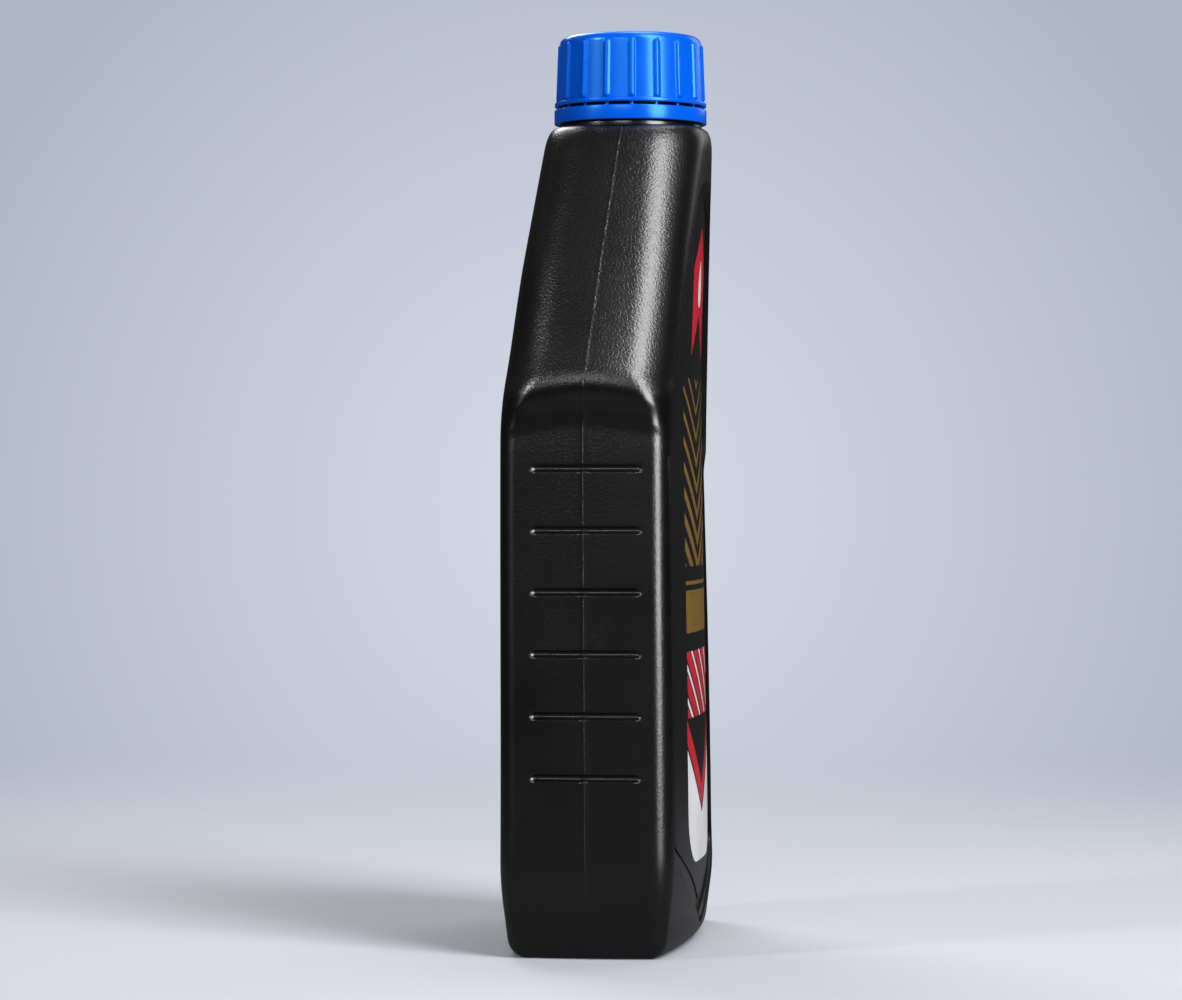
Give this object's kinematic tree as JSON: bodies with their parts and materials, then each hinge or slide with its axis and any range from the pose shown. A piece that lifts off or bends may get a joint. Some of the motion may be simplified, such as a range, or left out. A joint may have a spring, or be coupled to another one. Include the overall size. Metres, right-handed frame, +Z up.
{
  "type": "motor oil bottle",
  "caption": "Flat-sided motor oil bottle with a slanted shoulder, scooped finger-grip sides, a recessed front label and a ribbed screw cap with a tamper ring.",
  "frame": {"origin": "on the floor, at the middle of the bottle's foot", "axes": "+Z up along the bottle, front label towards -Y, narrow sides along X"},
  "size_m": [0.116, 0.055, 0.2486],
  "materials": {
    "black_hdpe": "fine moulded grain, satin",
    "label_film": "printed satin film",
    "blue_cap_plastic": "smooth moulded gloss",
    "liner_foam": "fine closed-cell foam"
  },
  "bodies": {
    "bottle": {"bottle_body": "black_hdpe", "front_label": "label_film", "tamper_band": "blue_cap_plastic"},
    "liner": {"cap_liner": "liner_foam"},
    "cap": {"screw_cap": "blue_cap_plastic"}
  },
  "joints": [
    {"name": "cap_lift", "type": "slide", "parent": "bottle", "child": "liner", "axis": [0, 0, 1], "range_m": [0, 0.018]},
    {"name": "cap_turn", "type": "hinge", "parent": "liner", "child": "cap", "pos_m": [0, -0.0056, 0.2385], "axis": [0, 0, 1], "range_deg": [0, 1080]}
  ],
  "couplings": [
    {"joint": "cap_lift", "follows": "cap_turn", "m_per_rad": 0.00095492}
  ]
}
